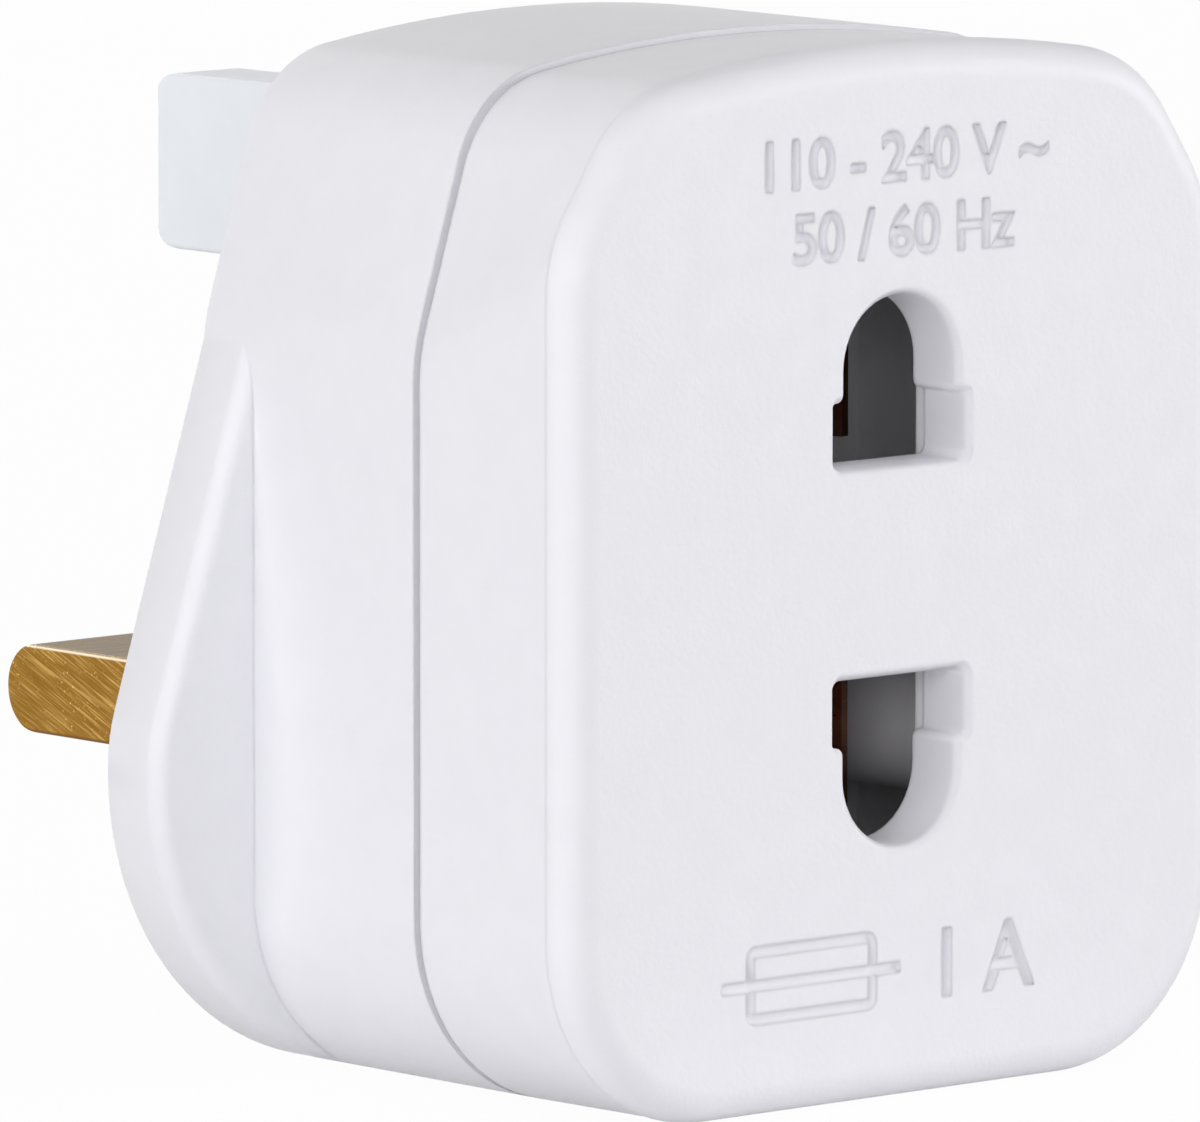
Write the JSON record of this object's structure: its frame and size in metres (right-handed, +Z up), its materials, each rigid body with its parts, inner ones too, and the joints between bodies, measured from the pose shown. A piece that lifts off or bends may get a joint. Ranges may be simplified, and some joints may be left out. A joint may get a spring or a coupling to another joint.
{
  "type": "shaver plug adapter",
  "caption": "White wall-plug adapter with keyhole shaver sockets in its front, a flared plug flange, brass power pins and a plastic earth pin behind.",
  "frame": {"origin": "on the plug face, midway between the two power pins", "axes": "+Y out of the plug face along the pins, +Z up towards the earth pin, +X to the right seen from the shaver side"},
  "size_m": [0.0484, 0.0476, 0.0455],
  "materials": {
    "housing_plastic": "fine spark-eroded satin",
    "earth_pin_plastic": "satin",
    "pin_brass": "brushed",
    "sleeve_plastic": "satin",
    "contact_bronze": "rolled sheet",
    "fuse_ceramic": "glazed ceramic",
    "fuse_metal": "nickel plated",
    "carrier_plastic": "satin",
    "screw_steel": "zinc plated"
  },
  "bodies": {
    "housing": {"front_cover": "housing_plastic", "rear_body": "housing_plastic", "earth_pin": "earth_pin_plastic", "live_pin": "pin_brass", "neutral_pin": "pin_brass", "live_pin_sleeve": "sleeve_plastic", "neutral_pin_sleeve": "sleeve_plastic", "line_contact": "contact_bronze", "neutral_contact": "contact_bronze", "live_fuse_clip": "contact_bronze", "housing_screw_left": "screw_steel", "housing_screw_right": "screw_steel", "housing_screw_bottom": "screw_steel"},
    "fuse_holder": {"fuse_carrier": "carrier_plastic", "fuse_tube": "fuse_ceramic", "fuse_cap_left": "fuse_metal", "fuse_cap_right": "fuse_metal"}
  },
  "joints": [
    {"name": "fuse_holder_pull", "type": "slide", "parent": "housing", "child": "fuse_holder", "axis": [0, 1, 0], "range_m": [0, 0.012]}
  ]
}
